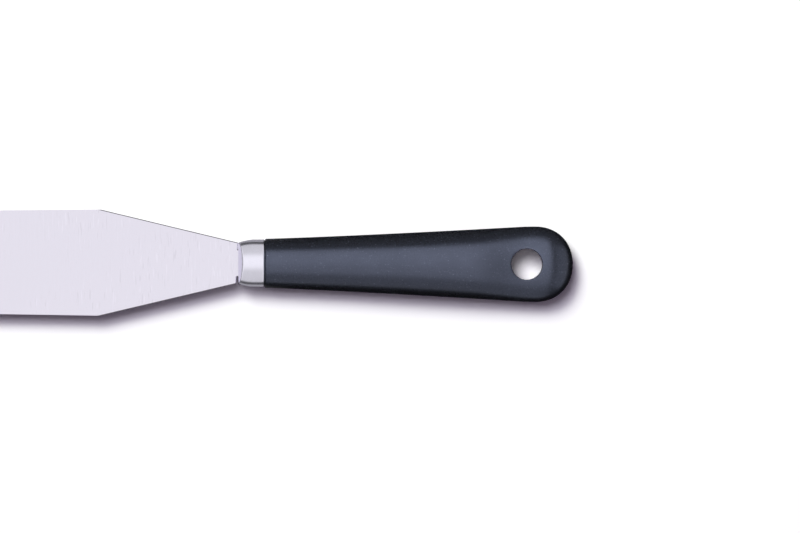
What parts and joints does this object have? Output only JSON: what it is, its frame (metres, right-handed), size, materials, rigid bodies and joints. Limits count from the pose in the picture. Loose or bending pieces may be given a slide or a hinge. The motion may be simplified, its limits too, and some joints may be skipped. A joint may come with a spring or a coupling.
{
  "type": "pastry spatula",
  "caption": "Straight pastry spatula: long flexible round-tipped steel blade with a tapered heel, bright steel ferrule and black plastic handle with a hanging hole.",
  "frame": {"origin": "under the middle of the tool's whole length, at the level of the handle's underside", "axes": "+X along the tool from the blade's tip to the butt of the handle, +Y across the blade, +Z square to the blade's flat"},
  "size_m": [0.3764, 0.04, 0.0158],
  "materials": {
    "blade_steel": "satin, fine grinding lines across the blade",
    "ferrule_steel": "polished stainless steel",
    "handle_plastic": "black, finely textured moulding"
  },
  "bodies": {
    "root": {"blade": "blade_steel", "ferrule": "ferrule_steel", "handle": "handle_plastic"}
  },
  "joints": []
}
